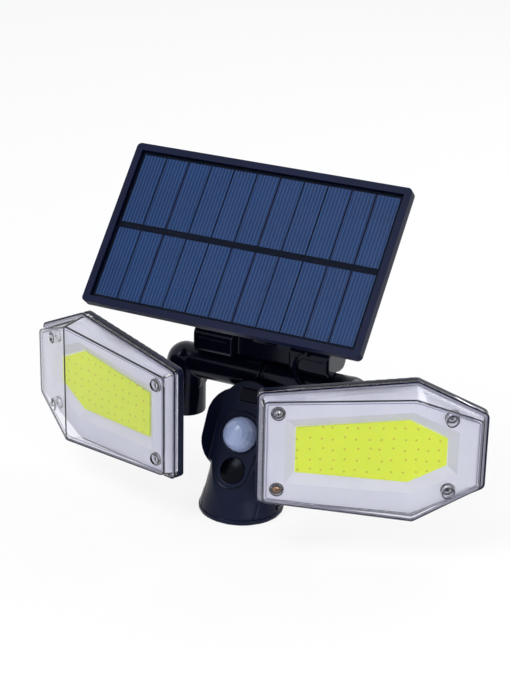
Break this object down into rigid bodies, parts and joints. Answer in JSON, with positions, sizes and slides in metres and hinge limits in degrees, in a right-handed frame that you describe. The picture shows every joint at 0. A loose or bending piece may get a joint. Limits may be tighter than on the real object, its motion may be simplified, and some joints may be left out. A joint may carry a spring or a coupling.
{
  "type": "solar flood light",
  "caption": "Solar flood light: a tilting solar panel over a motion-sensor body with a round base and side arms that carry swivelling COB lamp heads.",
  "frame": {"origin": "centre of the underside of the round base plate, on the face that is screwed down", "axes": "+Z away from the mounting surface towards the panel, -Y the way the sensor, lamps and panel face, +X along the cross bar"},
  "size_m": [0.3117, 0.1004, 0.2209],
  "materials": {
    "black_shell": "semi-gloss moulded black",
    "bezel": "semi-gloss moulded navy black",
    "button_rubber": "matt black silicone rubber",
    "steel": "zinc-plated steel",
    "sensor_dome": "translucent faceted white-blue dome",
    "dark_lens": "glossy smoke-black lens",
    "circuit_board": "green solder mask",
    "battery_wrap": "blue shrink wrap",
    "panel_glazing": "clear sealing layer",
    "panel_backing": "dark backing sheet",
    "solar_cells": "blue silicon",
    "led_board": "white-masked aluminium board",
    "led_phosphor": "yellow-green phosphor gel",
    "reflector": "satin white",
    "clear_cover": "clear moulded polycarbonate"
  },
  "bodies": {
    "body": {"base_plate": "black_shell", "base_lock_screws": "steel", "front_shell": "black_shell", "pir_dome": "sensor_dome", "pir_retainer": "black_shell", "pir_sensor": "steel", "light_lens": "dark_lens", "main_board": "circuit_board", "rear_shell": "black_shell", "battery_cell": "battery_wrap", "battery_cradle": "black_shell", "cover_gasket": "button_rubber", "rear_cover": "black_shell", "rear_cover_screws": "steel", "pivot_plate": "steel", "cross_shaft": "steel", "panel_bracket": "black_shell", "bracket_screws": "steel"},
    "button": {"mode_button": "button_rubber"},
    "panel": {"panel_frame": "bezel", "panel_glazing": "panel_glazing", "panel_backing": "panel_backing", "solar_cells": "solar_cells", "panel_back_cover": "black_shell", "hinge_bolt": "steel", "hinge_knob": "black_shell"},
    "arm_right": {"arm_right": "black_shell", "arm_washer_right": "steel", "arm_screw_right": "steel", "swivel_pin_right": "steel"},
    "lamp_right": {"lamp_housing_right": "black_shell", "led_board_right": "led_board", "led_phosphor_right": "led_phosphor", "reflector_right": "reflector", "lamp_cover_right": "clear_cover", "lamp_screws_right": "steel"},
    "arm_left": {"arm_left": "black_shell", "arm_washer_left": "steel", "arm_screw_left": "steel", "swivel_pin_left": "steel"},
    "lamp_left": {"lamp_housing_left": "black_shell", "led_board_left": "led_board", "led_phosphor_left": "led_phosphor", "reflector_left": "reflector", "lamp_cover_left": "clear_cover", "lamp_screws_left": "steel"}
  },
  "joints": [
    {"name": "panel_tilt", "type": "hinge", "parent": "body", "child": "panel", "pos_m": [0, 0.0126, 0.1658], "axis": [1, 0, 0], "range_deg": [-45, 15]},
    {"name": "button_press", "type": "slide", "parent": "body", "child": "button", "axis": [0, 0.8746, -0.4848], "range_m": [0, 0.001], "stiffness_N_per_m": 500},
    {"name": "arm_right_tilt", "type": "hinge", "parent": "body", "child": "arm_right", "pos_m": [0.025, 0.034, 0.079], "axis": [1, 0, 0], "range_deg": [-12, 10]},
    {"name": "lamp_right_swivel", "type": "hinge", "parent": "arm_right", "child": "lamp_right", "pos_m": [0.059, 0.034, 0.057], "axis": [0, 0, 1], "range_deg": [-10, 55]},
    {"name": "arm_left_tilt", "type": "hinge", "parent": "body", "child": "arm_left", "pos_m": [-0.025, 0.034, 0.079], "axis": [1, 0, 0], "range_deg": [-12, 10]},
    {"name": "lamp_left_swivel", "type": "hinge", "parent": "arm_left", "child": "lamp_left", "pos_m": [-0.059, 0.034, 0.057], "axis": [0, 0, 1], "range_deg": [-55, 10]}
  ]
}
